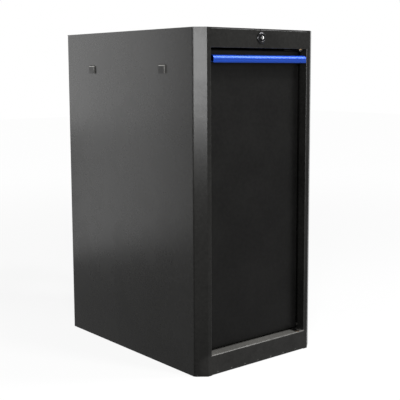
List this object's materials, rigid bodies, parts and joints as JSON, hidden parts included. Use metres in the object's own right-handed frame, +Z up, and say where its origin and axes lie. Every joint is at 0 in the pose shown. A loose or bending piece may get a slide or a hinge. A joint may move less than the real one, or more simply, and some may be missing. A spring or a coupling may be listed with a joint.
{
  "type": "tool chest side locker",
  "caption": "Narrow floor-standing steel side locker with a recessed hinged door, full-width grip, cam lock, shelves and side hooks.",
  "frame": {"origin": "middle of the cabinet's footprint, on the floor, without the side hooks", "axes": "+Z up, the door faces -Y, +X towards the side that the door is hinged on, -X the side with the hooks"},
  "size_m": [0.334, 0.4888, 0.7],
  "materials": {
    "body_black": "satin black powder coat",
    "door_black": "semi-gloss black powder coat",
    "handle_blue": "blue anodised, fine brushed",
    "zinc_steel": "zinc plated",
    "black_steel": "black oxide, oiled",
    "lock_chrome": "polished black nickel",
    "bush_bronze": "plain sintered bronze, oiled",
    "bumper_rubber": "matte",
    "magnet_black": "matte, ferrite magnet in a plastic case"
  },
  "bodies": {
    "cabinet": {"left_side_panel": "body_black", "right_side_panel": "body_black", "back_panel": "body_black", "back_panel_rivets": "zinc_steel", "top_panel": "body_black", "floor_pan": "body_black", "base_pan": "body_black", "left_front_post": "body_black", "right_front_post": "body_black", "header_rail": "body_black", "bottom_rail": "body_black", "top_hinge_plate": "zinc_steel", "bottom_hinge_plate": "zinc_steel", "top_hinge_bush": "bush_bronze", "bottom_hinge_bush": "bush_bronze", "stop_strip": "body_black", "door_bumpers": "bumper_rubber", "magnetic_catch": "magnet_black", "magnet_screws": "zinc_steel", "left_front_upright": "body_black", "left_rear_upright": "body_black", "right_front_upright": "body_black", "right_rear_upright": "body_black", "lower_shelf_clips": "zinc_steel", "upper_shelf_clips": "zinc_steel", "lower_shelf": "body_black", "upper_shelf": "body_black", "front_hanging_hook": "body_black", "rear_hanging_hook": "body_black", "lock_housing": "lock_chrome", "lock_nut": "zinc_steel"},
    "door": {"door_skin": "door_black", "door_inner_panel": "door_black", "left_door_stiffener": "door_black", "right_door_stiffener": "door_black", "door_handle": "handle_blue", "handle_screws": "zinc_steel", "top_hinge_arm": "black_steel", "bottom_hinge_arm": "black_steel", "top_hinge_pin": "black_steel", "bottom_hinge_pin": "black_steel", "lock_strike": "zinc_steel"},
    "lock_core": {"lock_cylinder": "lock_chrome", "lock_cam": "zinc_steel", "cam_screw": "zinc_steel"}
  },
  "joints": [
    {"name": "door_swing", "type": "hinge", "parent": "cabinet", "child": "door", "pos_m": [0.1183, -0.23625, 0.3515], "axis": [0, 0, 1], "range_deg": [0, 110]},
    {"name": "lock_turn", "type": "hinge", "parent": "cabinet", "child": "lock_core", "pos_m": [0, -0.24175, 0.6819], "axis": [0, 1, 0], "range_deg": [0, 90]}
  ]
}
